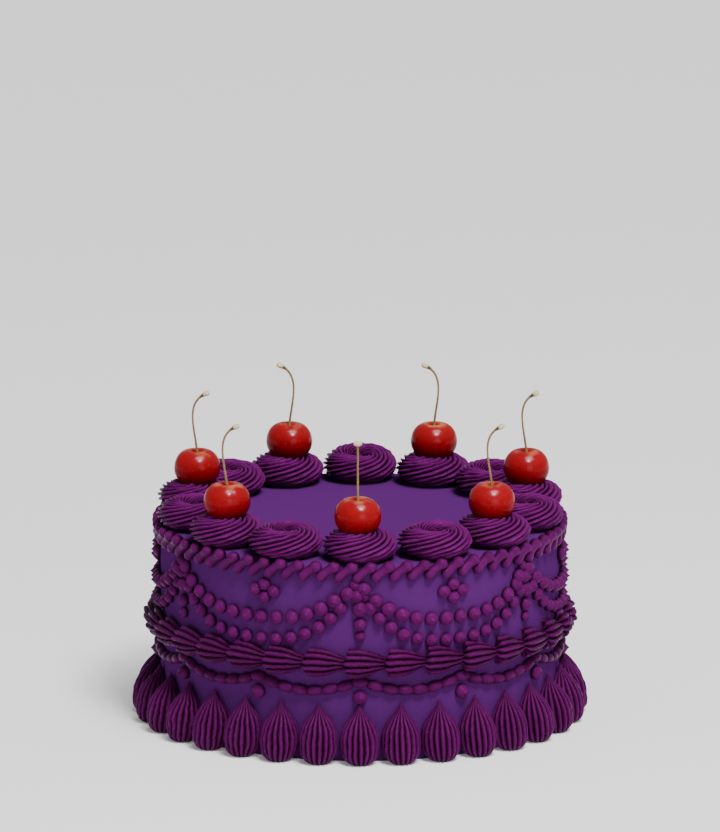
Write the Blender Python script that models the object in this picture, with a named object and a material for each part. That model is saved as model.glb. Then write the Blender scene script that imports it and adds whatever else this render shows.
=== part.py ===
"""Cherry cake: a tall round cake in violet buttercream, with piped borders, swags and seven cherries.

Metres, +Z up. The origin is the centre of the base. Angles are measured round the cake from the
front (-Y) and grow to the right, so a quarter turn is +X.
"""

from math import acos, cos, pi, radians, sin, tau
from random import Random

import bmesh
import bpy
from mathutils import Matrix, Vector
from mathutils.geometry import interpolate_bezier

SEED = 27
GAP = 0.0003
# Faces that meet at more than this stay sharp: on plain pieces, and on ridged ones
SHARP_ANGLE = radians(40)
RIDGE_ANGLE = radians(25)

# The iced cake: an 8 inch round, 4 inches tall
CAKE_RADIUS = 0.1016
CAKE_HEIGHT = 0.1016
EDGE_CHAMFER = 0.0025
CAKE_SIDES = 48

# Rosettes round the top, piped with a fine star tip
ROSETTES = 14
ROSETTE_RING = 0.0864
ROSETTE_RADIUS = 0.01905
ROSETTE_FOOT = 0.0128
ROSETTE_HEIGHT = 0.0140
ROSETTE_FLANK = 0.0060
ROSETTE_SHOULDER_RADIUS = 0.0171
ROSETTE_SHOULDER = 0.0108
ROSETTE_RIM = 0.0100
ROSETTE_RIDGES = 8
ROSETTE_GROOVE = 0.12
ROSETTE_TWIST = radians(45)
SWIRL_DEPTH = 0.0028
CUP_DEPTH = 0.0040

# Cherries on every second rosette
CHERRIES = 7
CHERRY_RADIUS = 0.0118
CHERRY_HALF_HEIGHT = 0.0101
CHERRY_CENTRE = 0.1232
CHERRY_SIDES = 10
# Height and radius of its rings, as shares of the half height and the radius
CHERRY_OUTLINE = ((-0.85, 0.50), (-0.42, 0.92), (0.12, 1.0), (0.72, 0.80), (0.98, 0.42))
DIMPLE_FLOOR = 0.0073
STALK_RADIUS = 0.0006
STALK_SIDES = 4
STALK_STEPS = 5
STALK_SINK = 0.0010
STALK_BOW = 0.0075
STALK_HOOK = 0.0050
# Heights of the curve's two handles, as shares of the rise
STALK_HANDLES = (0.35, 0.85)
STALK_HEAD_RADIUS = 0.0019
STALK_HEAD_LENGTH = 0.0016

# Way that a stalk's head leans, and its rise: the front one and the two at the back differ from the rest
SIDE_STALK = ((1.0, 0.0, 0.0), 0.0325)
STALK_LEANS = {
    0: ((0.0, -1.0, 0.0), 0.0325),
    3: ((-1.0, 0.0, 0.0), 0.0335),
    4: ((-1.0, 0.0, 0.0), 0.0335),
}

# Rope border under the top edge: slanted bars with a knob at each end
BARS = 70
BAR_START = radians(4.3)
BAR_SLANT = radians(3.9)
BAR_LOW = 0.0944
BAR_HIGH = 0.1003
BAR_LOW_RADIUS = 0.0024
BAR_HIGH_RADIUS = 0.0028
BAR_WAIST = 0.75
BAR_PROUD = 1.3
BAR_SINK = 0.0010

# Swags: two rows of piped dots hung between six joints. The left one stops short of the front joint.
FRONT_JOINT = radians(0)
RIGHT_JOINT = radians(54.5)
LEFT_JOINT = radians(-60.2)
LEFT_SWAG_END = radians(-2.5)
LEFT_FLOWER = radians(-27.9)
REAR_SWAGS = 4
# Dots in the row, reach towards the joints, spread, lowest height, rise, power of the curve, size
UPPER_ROW = (12, 0.835, 0.75, 0.0727, 0.0195, 2.97, 0.0069)
LOWER_ROW = (14, 0.893, 1.00, 0.0621, 0.0253, 3.02, 0.0063)

# Flower of four dots over the middle of each swag: sideways, height, size
FLOWER_DOTS = (
    (-0.0054, 0.0864, 0.0062),
    (0.0054, 0.0864, 0.0062),
    (0.0000, 0.0898, 0.0062),
    (0.0000, 0.0830, 0.0062),
)

# Knot of dots at each joint: sideways, height, size
KNOT_DOTS = (
    (0.0020, 0.0898, 0.0068),
    (-0.0026, 0.0919, 0.0050),
    (-0.0070, 0.0876, 0.0068),
    (-0.0020, 0.0857, 0.0062),
    (0.0000, 0.0795, 0.0070),
    (0.0000, 0.0718, 0.0063),
    (0.0000, 0.0655, 0.0051),
)

# Piped dots, in diameters
DOT_SIDES = 4
DOT_FOOT_RADIUS = 0.50
DOT_WAIST_RADIUS = 0.48
DOT_PROUD = 0.62
DOT_SINK = 0.09
DOT_SCATTER = 0.03

# Ridged border of overlapping shells round the middle
SHELLS = 32
SHELL_START = radians(-3.9)
SHELL_HEIGHT = 0.0508
SHELL_HALF_HEIGHT = 0.0077
SHELL_PROUD = 0.0094
SHELL_GROOVE = 0.14
# Places of the two rings of a shell along its pitch, with their sizes
SHELL_TAPER = ((0.0, 1.0), (0.96, 0.50))
# Directions of its ridges and grooves seen along the border, and the height of its edges
SHELL_LIFTS = [radians(lift) for lift in (-60, -30, 0, 30, 60)]
SHELL_EDGE = 0.9

# String of small beads in shallow scallops, with one dot under each crest
SCALLOPS = 12
STRING_CREST = 0.0398
STRING_TROUGH = 0.0363
STRING_SIZE = 0.0055
STRING_PROUD = 0.0034
STRING_SINK = 0.0008
CREST_DOT_HEIGHT = 0.0341
CREST_DOT_SIZE = 0.0066

# Drops round the base, drawn up to a point
DROPS = 32
DROP_AXIS = 0.1078
DROP_TIP = 0.1034
DROP_HEIGHT = 0.0303
DROP_RIDGES = 3
DROP_GROOVE = 0.11
# Half width at shares of the height
DROP_PROFILE = ((0.0, 0.0070), (0.34, 0.0101), (0.67, 0.0080), (0.88, 0.0034))

# Colours of the smooth and the piped icing and of the fruit, each with its roughness
SMOOTH_ICING = ((0.115, 0.030, 0.190), 0.5)
PIPED_ICING = ((0.160, 0.022, 0.150), 0.5)
CHERRY_SKIN = ((0.400, 0.004, 0.006), 0.25)


def matte(name, colour, roughness):
    """A plain food material."""
    material = bpy.data.materials.new(name)
    material.use_nodes = True
    shader = material.node_tree.nodes["Principled BSDF"]
    shader.inputs["Base Color"].default_value = (*colour, 1.0)
    shader.inputs["Roughness"].default_value = roughness
    shader.inputs["Metallic"].default_value = 0.0
    return material


def skin(rings, closed=False):
    """One closed mesh through rings of points. A ring of one point is a tip."""
    bm = bmesh.new()
    loops = [[bm.verts.new(point) for point in ring] for ring in rings]
    pairs = list(zip(loops, loops[1:]))
    if closed:
        pairs.append((loops[-1], loops[0]))
    for lower, upper in pairs:
        count = max(len(lower), len(upper))
        for i in range(count):
            j = (i + 1) % count
            corners = (
                lower[i % len(lower)],
                lower[j % len(lower)],
                upper[j % len(upper)],
                upper[i % len(upper)],
            )
            bm.faces.new(list(dict.fromkeys(corners)))
    if not closed:
        for loop in (loops[0], loops[-1]):
            if len(loop) > 2:
                bm.faces.new(loop)
    return bm


def finish_mesh(bm, name, material, sharp=SHARP_ANGLE, flat=False):
    """Makes a mesh with its faces outwards. Faces that aren't flat are split at their shorter diagonal."""
    if not flat:
        bmesh.ops.triangulate(bm, faces=bm.faces, quad_method="SHORT_EDGE", ngon_method="BEAUTY")
    bmesh.ops.recalc_face_normals(bm, faces=bm.faces)
    mesh = bpy.data.meshes.new(name)
    bm.to_mesh(mesh)
    bm.free()
    mesh.materials.append(material)
    mesh.shade_smooth()
    mesh.set_sharp_from_angle(angle=sharp)
    return mesh


def place(name, mesh, matrix=Matrix(), collection=None):
    """A new object with this mesh."""
    piece = bpy.data.objects.new(name, mesh)
    piece.matrix_world = matrix
    (collection or bpy.context.scene.collection).objects.link(piece)
    return piece


def on_wall(angle, height, radius=CAKE_RADIUS):
    """Frame of a spot on the wall: local X runs to the right, Y up and Z straight out."""
    spot = Vector((radius * sin(angle), -radius * cos(angle), height))
    right = Vector((cos(angle), sin(angle), 0.0))
    out = Vector((sin(angle), -cos(angle), 0.0))
    axes = Matrix((right, Vector((0.0, 0.0, 1.0)), out)).transposed().to_4x4()
    return Matrix.Translation(spot) @ axes


def circle(count, radius, height, start=0.0):
    """Points of a level ring."""
    turns = [start + tau * i / count for i in range(count)]
    return [Vector((radius * cos(turn), radius * sin(turn), height)) for turn in turns]


def star(ridges, radius, groove, height, turn):
    """Points of a level ring with a crest and a groove for each ridge."""
    points = circle(2 * ridges, radius, height, turn)
    for point in points[1::2]:
        point.xy *= 1.0 - groove
    return points


def swag_joints():
    """Angles of the joints between swags: three seen in front, the others evenly behind."""
    rear = LEFT_JOINT + tau - RIGHT_JOINT
    joints = [FRONT_JOINT, RIGHT_JOINT]
    for step in range(1, REAR_SWAGS + 1):
        joints.append(RIGHT_JOINT + rear * step / REAR_SWAGS)
    return joints


def swag_row(start, end, dots, reach, spread, low, rise, power, size):
    """Angle, height and size of each dot of one row, closer together where the row climbs."""
    middle = (start + end) / 2
    half = (end - start) / 2
    row = []
    for i in range(dots):
        along = 2 * i / (dots - 1) - 1
        u = reach * sin(spread * along) / sin(spread)
        row.append((middle + half * u, low + rise * abs(u) ** power, size))
    return row


def piped_dots():
    """Angle, height and size of every round dot on the wall."""
    joints = swag_joints()
    ends = joints[1:] + [LEFT_SWAG_END + tau]
    flowers = [(start + end) / 2 for start, end in zip(joints[:-1], joints[1:])] + [LEFT_FLOWER]
    dots = []
    for start, end, flower in zip(joints, ends, flowers):
        dots += swag_row(start, end, *UPPER_ROW)
        dots += swag_row(start, end, *LOWER_ROW)
        for centre, group in ((flower, FLOWER_DOTS), (start, KNOT_DOTS)):
            dots += [(centre + sideways / CAKE_RADIUS, height, size) for sideways, height, size in group]
    for i in range(SCALLOPS):
        dots.append((tau * i / SCALLOPS, CREST_DOT_HEIGHT, CREST_DOT_SIZE))
    return dots


def dot_mesh(material):
    """A dot one metre wide, to be scaled: a dome whose foot is sunk and whose top is a soft point."""
    rings = [
        circle(DOT_SIDES, DOT_FOOT_RADIUS, -DOT_SINK),
        circle(DOT_SIDES, DOT_WAIST_RADIUS, DOT_PROUD / 2),
        [Vector((0.0, 0.0, DOT_PROUD))],
    ]
    return finish_mesh(skin(rings), "dot", material, flat=True)


def bar_mesh(material):
    """A slanted bar with two knobs, in the frame of its lower knob's spot on the wall."""
    run = Vector((BAR_SLANT * CAKE_RADIUS, BAR_HIGH - BAR_LOW, 0.0))
    along = run.normalized()
    out = Vector((0.0, 0.0, 1.0))
    across = out.cross(along)
    stations = (
        (-BAR_LOW_RADIUS, 0.0),
        (0.0, BAR_LOW_RADIUS),
        (run.length / 2, BAR_LOW_RADIUS * BAR_WAIST),
        (run.length, BAR_HIGH_RADIUS),
        (run.length + BAR_HIGH_RADIUS, 0.0),
    )
    rings = []
    for distance, radius in stations:
        centre = along * distance - out * BAR_SINK
        if radius == 0.0:
            rings.append([centre])
            continue
        crown = centre + out * (BAR_SINK + radius * BAR_PROUD)
        rings.append([centre - across * radius, crown, centre + across * radius])
    return finish_mesh(skin(rings), "bar", material, flat=True)


def string_mesh(material):
    """The string of beads as one rope, with its sections on the corners of the cake's sides."""
    rings = []
    for i in range(CAKE_SIDES):
        angle = tau * i / CAKE_SIDES
        dip = abs(sin(SCALLOPS * angle / 2))
        height = STRING_CREST + (STRING_TROUGH - STRING_CREST) * dip
        half = STRING_SIZE / 2
        spots = ((-STRING_SINK, half), (STRING_PROUD, 0.0), (-STRING_SINK, -half))
        rings.append([on_wall(angle, height) @ Vector((0.0, up, out)) for out, up in spots])
    return finish_mesh(skin(rings, closed=True), "string", material)


def cake_body(smooth, piped, random):
    """The iced cake with all its small piping fused on."""
    profile = (
        (CAKE_RADIUS, 0.0),
        (CAKE_RADIUS, CAKE_HEIGHT - EDGE_CHAMFER),
        (CAKE_RADIUS - EDGE_CHAMFER, CAKE_HEIGHT),
    )
    rings = [circle(CAKE_SIDES, radius, height) for radius, height in profile]
    body = place("cake_body", finish_mesh(skin(rings), "cake_body", smooth, flat=True))

    piping = bpy.data.collections.new("piping")
    dot = dot_mesh(piped)
    for i, (angle, height, size) in enumerate(piped_dots()):
        scale = size * (1.0 + random.uniform(-DOT_SCATTER, DOT_SCATTER))
        place(f"dot_{i}", dot, on_wall(angle, height) @ Matrix.Scale(scale, 4), piping)
    bar = bar_mesh(piped)
    for i in range(BARS):
        place(f"bar_{i}", bar, on_wall(BAR_START + tau * i / BARS, BAR_LOW), piping)
    place("string", string_mesh(piped), collection=piping)
    fuse(body, piping)
    return body


def fuse(target, pieces):
    """Joins a collection's objects to the target by one union, and removes them."""
    union = target.modifiers.new("Union", "BOOLEAN")
    union.operation = "UNION"
    union.operand_type = "COLLECTION"
    union.collection = pieces
    union.solver = "EXACT"
    depsgraph = bpy.context.evaluated_depsgraph_get()
    fused = bpy.data.meshes.new_from_object(target.evaluated_get(depsgraph))
    target.modifiers.clear()
    target.data = fused
    for piece in list(pieces.objects):
        bpy.data.objects.remove(piece)
    bpy.data.collections.remove(pieces)


def rosette_mesh(name, material, hollow):
    """A swirl of ridges that climbs from a narrow foot over a full bulge and into its centre."""
    stations = (
        (ROSETTE_FOOT, 0.0),
        (ROSETTE_RADIUS, ROSETTE_FLANK),
        (ROSETTE_SHOULDER_RADIUS, ROSETTE_SHOULDER),
        (ROSETTE_RIM, ROSETTE_HEIGHT),
    )
    rings = []
    for i, (radius, height) in enumerate(stations):
        rings.append(star(ROSETTE_RIDGES, radius, ROSETTE_GROOVE, height, i * ROSETTE_TWIST))
    rings.append([Vector((0.0, 0.0, ROSETTE_HEIGHT - hollow))])
    return finish_mesh(skin(rings), name, material, RIDGE_ANGLE)


def rosettes(material, random):
    """The ring of rosettes; every second one is cupped for its cherry."""
    swirl = rosette_mesh("rosette_swirl", material, SWIRL_DEPTH)
    cup = rosette_mesh("rosette_cup", material, CUP_DEPTH)
    for i in range(ROSETTES):
        angle = tau * i / ROSETTES
        spot = Vector((ROSETTE_RING * sin(angle), -ROSETTE_RING * cos(angle), CAKE_HEIGHT + GAP))
        turn = Matrix.Rotation(random.uniform(0.0, tau), 4, "Z")
        place(f"rosette_{i + 1:02d}", swirl if i % 2 else cup, Matrix.Translation(spot) @ turn)


def stalk_ring(centre, forward, radius):
    """Points of a ring square to the run of a stalk."""
    side = Vector((0.0, 1.0, 0.0)) - forward * forward.y
    side.normalize()
    other = forward.cross(side)
    turns = [tau * (i + 0.5) / STALK_SIDES for i in range(STALK_SIDES)]
    return [centre + radius * (side * cos(turn) + other * sin(turn)) for turn in turns]


def stalk_mesh(material, lean, rise):
    """A stalk that bows away from its lean, hooks back near the top and ends in a flared head."""
    root = Vector((0.0, 0.0, DIMPLE_FLOOR - STALK_SINK))
    up = Vector((0.0, 0.0, rise))
    tip = root + up + lean * STALK_HOOK
    straight = root + up * STALK_HANDLES[0]
    bowed = root + up * STALK_HANDLES[1] - lean * STALK_BOW
    spine = interpolate_bezier(root, straight, bowed, tip, STALK_STEPS)
    rings = []
    for i, centre in enumerate(spine):
        forward = (spine[min(i + 1, STALK_STEPS - 1)] - spine[max(i - 1, 0)]).normalized()
        rings.append(stalk_ring(centre, forward, STALK_RADIUS))
    rings.append(stalk_ring(tip + forward * STALK_HEAD_LENGTH, forward, STALK_HEAD_RADIUS))
    return finish_mesh(skin(rings), "stalk", material)


def cherries(material):
    """Seven cherries, each fused with its stalk. The front stalk's head leans to the front, those of
    the two at the back lean to the left, and the others to the right."""
    rings = [[Vector((0.0, 0.0, -CHERRY_HALF_HEIGHT))]]
    for up, out in CHERRY_OUTLINE:
        rings.append(circle(CHERRY_SIDES, out * CHERRY_RADIUS, up * CHERRY_HALF_HEIGHT))
    rings.append([Vector((0.0, 0.0, DIMPLE_FLOOR))])
    for i in range(CHERRIES):
        angle = tau * i / CHERRIES
        spot = Vector((ROSETTE_RING * sin(angle), -ROSETTE_RING * cos(angle), CHERRY_CENTRE))
        lean, rise = STALK_LEANS.get(i, SIDE_STALK)
        name = f"cherry_{i + 1}"
        cherry = place(name, finish_mesh(skin(rings), name, material), Matrix.Translation(spot))
        stalks = bpy.data.collections.new("stalks")
        place("stalk", stalk_mesh(material, Vector(lean), rise), Matrix.Translation(spot), stalks)
        fuse(cherry, stalks)


def shell_border(material):
    """One ring of ridged shells, each swelling at its left end and tapering under the next."""
    back = (CAKE_RADIUS + GAP) / cos(pi / SHELLS)
    rings = []
    for i in range(SHELLS):
        for along, scale in SHELL_TAPER:
            angle = SHELL_START + tau * (i + along) / SHELLS
            out = Vector((sin(angle), -cos(angle), 0.0))
            half = SHELL_HALF_HEIGHT * scale
            ring = [out * back + Vector((0.0, 0.0, SHELL_HEIGHT - half * SHELL_EDGE))]
            for step, lift in enumerate(SHELL_LIFTS):
                groove = 1.0 - SHELL_GROOVE * (step % 2)
                reach = back + SHELL_PROUD * scale * groove * cos(lift)
                height = SHELL_HEIGHT + half * groove * sin(lift) / sin(SHELL_LIFTS[-1])
                ring.append(out * reach + Vector((0.0, 0.0, height)))
            ring.append(out * back + Vector((0.0, 0.0, SHELL_HEIGHT + half * SHELL_EDGE)))
            rings.append(ring)
    place("shell_border", finish_mesh(skin(rings, closed=True), "shell_border", material, RIDGE_ANGLE))


def drops(material):
    """Pointed ridged drops round the base, flat at the back where they meet the wall."""
    wall = CAKE_RADIUS + GAP
    rings = []
    for rise, half in DROP_PROFILE:
        axis = DROP_AXIS + (DROP_TIP - DROP_AXIS) * rise
        widest = pi - acos((axis - wall) / half)
        ring = []
        for step in range(2 * DROP_RIDGES + 1):
            turn = widest * (step / DROP_RIDGES - 1.0)
            reach = half * (1.0 if step % 2 else 1.0 - DROP_GROOVE)
            ring.append(Vector((reach * sin(turn), -axis - reach * cos(turn), rise * DROP_HEIGHT)))
        rings.append(ring)
    rings.append([Vector((0.0, -DROP_TIP, DROP_HEIGHT))])
    mesh = finish_mesh(skin(rings), "drop", material, RIDGE_ANGLE)
    for i in range(DROPS):
        place(f"drop_{i + 1:02d}", mesh, Matrix.Rotation(tau * i / DROPS, 4, "Z"))


def main():
    for old in list(bpy.data.objects):
        bpy.data.objects.remove(old)
    random = Random(SEED)
    smooth = matte("icing_smooth", *SMOOTH_ICING)
    piped = matte("icing_piped", *PIPED_ICING)
    cherry = matte("cherry_skin", *CHERRY_SKIN)
    cake_body(smooth, piped, random)
    shell_border(piped)
    rosettes(piped, random)
    cherries(cherry)
    drops(piped)


main()
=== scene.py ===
"""Cherry cake in violet buttercream: the fine piping, the fruit and their finishes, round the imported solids.

Metres, +Z up. Angles are measured round the cake from the front (-Y) and grow to the right.
"""

from math import cos, pi, radians, sin, tau

import bpy
import numpy as np
from bpy.props import FloatProperty, FloatVectorProperty, IntProperty, PointerProperty
from bpy.types import Operator, Panel, PropertyGroup
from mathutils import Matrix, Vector
from mathutils.geometry import interpolate_bezier


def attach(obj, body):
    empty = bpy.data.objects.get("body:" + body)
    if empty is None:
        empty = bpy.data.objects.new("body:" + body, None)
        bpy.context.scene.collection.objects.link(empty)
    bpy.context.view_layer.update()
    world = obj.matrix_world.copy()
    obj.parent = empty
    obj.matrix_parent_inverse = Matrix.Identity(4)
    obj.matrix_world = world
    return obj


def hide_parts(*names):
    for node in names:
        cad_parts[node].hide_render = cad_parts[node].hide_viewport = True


bl_info = {
    "name": "Cherry Cake",
    "version": (1, 0, 0),
    "blender": (4, 5, 0),
    "location": "View3D > Sidebar > Cake",
    "description": "Ices, pipes and tops a tall round cherry cake",
    "category": "Mesh",
}

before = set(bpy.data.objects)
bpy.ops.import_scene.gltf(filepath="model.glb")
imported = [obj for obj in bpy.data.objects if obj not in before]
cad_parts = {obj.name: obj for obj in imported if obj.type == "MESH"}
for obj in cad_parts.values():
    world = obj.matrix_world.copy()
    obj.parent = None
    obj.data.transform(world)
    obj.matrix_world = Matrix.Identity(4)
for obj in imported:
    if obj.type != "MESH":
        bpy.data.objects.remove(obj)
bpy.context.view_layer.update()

SEED = 27

# Swags: the joints seen in front. The left swag stops short of the front joint.
FRONT_JOINT = radians(0)
RIGHT_JOINT = radians(54.5)
LEFT_JOINT = radians(-60.2)
LEFT_SWAG_END = radians(-2.5)
LEFT_FLOWER = radians(-27.9)
REAR_SWAGS = 4
# Dots in the row, reach towards the joints, spread, lowest height, rise, power of the curve, size
UPPER_ROW = (12, 0.835, 0.75, 0.0722, 0.0190, 2.97, 0.0074)
LOWER_ROW = (14, 0.897, 1.00, 0.0611, 0.0255, 3.02, 0.0069)

# Flower of four dots over the middle of each swag: sideways, height, size
FLOWER_DOTS = (
    (-0.0052, 0.0860, 0.0067),
    (0.0052, 0.0860, 0.0067),
    (0.0000, 0.0893, 0.0067),
    (0.0000, 0.0826, 0.0067),
)

# Knot of dots at each joint: sideways, height, size
KNOT_DOTS = (
    (0.0020, 0.0894, 0.0074),
    (-0.0026, 0.0915, 0.0054),
    (-0.0062, 0.0870, 0.0075),
    (-0.0016, 0.0859, 0.0070),
    (0.0022, 0.0853, 0.0050),
    (0.0000, 0.0792, 0.0077),
    (0.0000, 0.0711, 0.0069),
    (0.0000, 0.0648, 0.0056),
)

# Slanted bars of the rope border: angle of the first, turn from foot to head, how far both ends run on,
# and how far the bars stand off the wall
BAR_START = radians(4.3)
BAR_SLANT = radians(3.9)
BAR_FOOT_RUN = 0.0023
BAR_HEAD_RUN = 0.0029
BAR_LIFT = 0.0010

# Beads of the string: how many to a scallop, and half the length and width of one
SCALLOP_BEADS = 7
BEAD_HALF_LENGTH = 0.0047
BEAD_HALF_WIDTH = 0.0029

# Shells of the middle border: angle of the first, length against their pitch, how far round their section
# goes to each side, ridges in a whole turn of it, and depth of the grooves against its size
SHELL_START = radians(-5.0)
SHELL_OVERLAP = 1.16
SHELL_WRAP = radians(104)
SHELL_RIDGES = 13
SHELL_GROOVE = 0.26

# Ridges of a base drop, and the depth of their grooves against its width
DROP_RIDGES = 18
DROP_GROOVE = 0.20

# Painted shade: lightness of the small piping, and of the drops, against the crests of the rosettes, which
# stand in more light on top
SMALL_PIPING_PAINTED_LIGHT = 0.68
DROP_PIPING_PAINTED_LIGHT = 0.715

# Outline of a piped dot one unit wide, drawn out to a point: height over the wall, radius
DOT_OUTLINE = (
    (-0.12, 0.36),
    (0.00, 0.45),
    (0.13, 0.498),
    (0.26, 0.480),
    (0.38, 0.400),
    (0.48, 0.285),
    (0.56, 0.165),
    (0.64, 0.070),
    (0.72, 0.012),
)

# Outline of a slanted bar: share of its length, radius
BAR_OUTLINE = (
    (0.00, 0.00070),
    (0.05, 0.00200),
    (0.15, 0.00275),
    (0.32, 0.00255),
    (0.50, 0.00235),
    (0.64, 0.00255),
    (0.79, 0.00315),
    (0.92, 0.00230),
    (1.00, 0.00030),
)

# Swell of a shell along its run: share of the run, height and reach against the largest
SHELL_SWELL = (
    (0.00, 0.46, 0.36),
    (0.02, 0.78, 0.74),
    (0.07, 0.94, 0.94),
    (0.18, 1.00, 1.00),
    (0.36, 0.99, 0.97),
    (0.52, 0.90, 0.91),
    (0.66, 0.74, 0.83),
    (0.82, 0.52, 0.72),
    (1.00, 0.30, 0.50),
)

# Outline of a base drop: share of its height, half width
DROP_OUTLINE = (
    (0.00, 0.0046),
    (0.03, 0.0063),
    (0.10, 0.0082),
    (0.20, 0.0095),
    (0.34, 0.0099),
    (0.50, 0.0095),
    (0.63, 0.0080),
    (0.75, 0.0055),
    (0.86, 0.0026),
    (0.94, 0.0011),
    (1.00, 0.0003),
)

# Thickness of a stalk: share of its length, radius
STALK_OUTLINE = (
    (0.00, 0.00100),
    (0.10, 0.00062),
    (0.50, 0.00048),
    (0.84, 0.00060),
    (0.90, 0.00085),
    (0.925, 0.00175),
    (0.96, 0.00205),
    (0.99, 0.00170),
    (1.00, 0.00090),
)

# Way that a stalk's head leans, and its rise; the rest are like the side one
SIDE_STALK = ((1.0, 0.0, 0.0), 0.0325)
STALK_LEANS = {
    0: ((0.0, -1.0, 0.0), 0.0325),
    3: ((-1.0, 0.0, 0.0), 0.0335),
    4: ((-1.0, 0.0, 0.0), 0.0335),
}

# How far each cherry sits to the right of its rosette's middle
CHERRY_SHIFTS = (-0.0011, -0.0010, 0.0006, 0.0005, 0.0012, 0.0012, 0.0004)

# Height of the ridge ends that stand up round a cherry, their distance from its axis and their spread
CUP_TEETH = 0.0010
CUP_RADIUS = 0.0094
CUP_SPREAD = 0.0016
# Height of the curl in the hole of an open rosette
ROSETTE_CURL = 0.0034
# Rise of the far rim of an open rosette, and of those behind
OPEN_TILT = 0.0006
REAR_TILTS = {5: 0.0013, 7: 0.0019, 9: 0.0013}
# Climb of a rosette's ridges: share of the way along its outline, degrees from level
RIDGE_CLIMB = ((0.0, 16.5), (0.32, 19.0), (0.55, 24.0), (0.75, 33.0), (1.0, 50.0))

# Bumps of the icing: their size, and their height
KNIFE_WAVES = (0.07, 0.00015)
SHELL_GRAIN = (0.0022, 0.00012)
SHELL_WAVES = (0.007, 0.00016)
DROP_GRAIN = (0.0024, 0.00013)
DROP_WAVES = (0.01, 0.00018)
ROSETTE_GRAIN = (0.0026, 0.00034)
# Bends of a rosette's ridges: their size, and radians
RIDGE_BENDS = (0.012, 0.035)
# Swell of a rosette out of round: its size, and the share of the radius
ROSETTE_SWELL = (0.03, 0.010)
# How far the middle of a rosette lies to the left, and its random stray from there
MIDDLE_SHIFT = 0.0012
MIDDLE_STRAY = 0.0006

# Camera, looking a little down from in front
CAMERA_SPOT = (0.0, -7.4, 1.903)
CAMERA_TARGET = (0.0, 0.0, 0.1547)
CAMERA_LENS = 647.6


def length(name, default, description):
    """A size in metres."""
    return FloatProperty(
        name=name, description=description, default=default, min=0.0, unit="LENGTH", precision=4
    )


def shade(name, default, description):
    """A colour."""
    return FloatVectorProperty(
        name=name, description=description, default=default, size=3, min=0.0, max=1.0, subtype="COLOR"
    )


class CakeSizes(PropertyGroup):
    """Sizes of the cake and its piping"""

    cake_radius: length("Cake radius", 0.1016, "Radius of the iced wall")
    cake_height: length("Cake height", 0.1016, "Height of the iced top")
    edge_radius: length("Edge radius", 0.004, "Rounding of the top edge")
    rosette_count: IntProperty(name="Rosettes", description="Rosettes round the top", default=14, min=2)
    rosette_ring: length("Rosette ring", 0.0864, "Distance from the middle to a rosette")
    rosette_radius: length("Rosette radius", 0.0190, "Radius of a rosette at its bulge")
    rosette_height: length("Rosette height", 0.0142, "Height of a rosette")
    rosette_bulge: length("Rosette bulge", 0.0072, "Height of the widest part of a rosette")
    rosette_ridges: IntProperty(name="Rosette ridges", description="Ridges of a rosette", default=14, min=3)
    ridge_depth: length("Ridge depth", 0.0023, "Depth of the grooves of a rosette")
    cherry_radius: length("Cherry radius", 0.0118, "Half the width of a cherry")
    cherry_half_height: length("Cherry half height", 0.0101, "Half the height of a cherry")
    cherry_centre: length("Cherry centre", 0.1232, "Height of a cherry's centre")
    dimple_floor: length("Dimple floor", 0.0073, "Height of the dimple's floor over the cherry's centre")
    bar_count: IntProperty(name="Bars", description="Slanted bars of the rope border", default=70, min=3)
    bar_low: length("Bar foot", 0.0953, "Height of a bar's lower knob")
    bar_high: length("Bar head", 0.1009, "Height of a bar's upper knob")
    shell_count: IntProperty(name="Shells", description="Shells of the middle border", default=32, min=3)
    shell_height: length("Shell height", 0.0511, "Height of the middle border")
    shell_half_height: length("Shell half height", 0.0078, "Half the height of a shell at its swell")
    shell_reach: length("Shell reach", 0.0096, "How far a shell stands out of the wall")
    scallops: IntProperty(name="Scallops", description="Scallops of the bead string", default=12, min=3)
    string_crest: length("String crest", 0.0411, "Height of the bead string at its crests")
    string_trough: length("String trough", 0.0362, "Height of the bead string at its troughs")
    crest_dot: length("Crest dot", 0.0333, "Height of the dot under each crest")
    crest_dot_width: length("Crest dot width", 0.0075, "Width of the dot under each crest")
    drop_count: IntProperty(name="Drops", description="Drops round the base", default=32, min=3)
    drop_axis: length("Drop axis", 0.1075, "Distance from the middle to a drop's foot")
    drop_tip: length("Drop tip", 0.1034, "Distance from the middle to a drop's tip")
    drop_height: length("Drop height", 0.0303, "Height of a drop")


class CakeColours(PropertyGroup):
    """Colours of the icing and the fruit"""

    wall: shade("Wall icing", (0.0770, 0.0121, 0.1170), "Smooth icing of the wall and top")
    # Painted shade: piped icing is painted from the crest colour down to the far darker groove colour in its
    # grooves, hollows and undersides. The groove colour is also the dark end of its mottle
    crest: shade("Ridge crests", (0.128, 0.0056, 0.116), "Piped icing on the crests of its ridges")
    groove_shade_and_mottle: shade("Ridge grooves", (0.012, 0.0005, 0.006), "Piped icing in its grooves")
    # Painted light and shade: a cherry is painted lighter on top, where the light falls, and darker underneath
    cherry_lit_top: shade("Cherry top", (0.250, 0.0024, 0.0052), "Skin of a cherry in the light")
    cherry_shaded_bottom: shade("Cherry bottom", (0.140, 0.0004, 0.0005), "Skin of a cherry underneath")
    # Partly painted highlight: the pale shoulder colour round the dimple is partly the skin's own tint and
    # partly a painted highlight on the lit top
    cherry_blush_and_highlight: shade("Cherry shoulder", (0.660, 0.225, 0.080), "Skin round a cherry's dimple")
    stalk: shade("Stalk", (0.270, 0.152, 0.058), "Stalk of a cherry")
    stalk_head: shade("Stalk head", (0.600, 0.500, 0.270), "Cut head of a stalk")


def sizes():
    """The sizes set in the sidebar."""
    return bpy.context.scene.cake_sizes


def colours():
    """The colours set in the sidebar."""
    return bpy.context.scene.cake_colours


# Curves and noise

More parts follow.
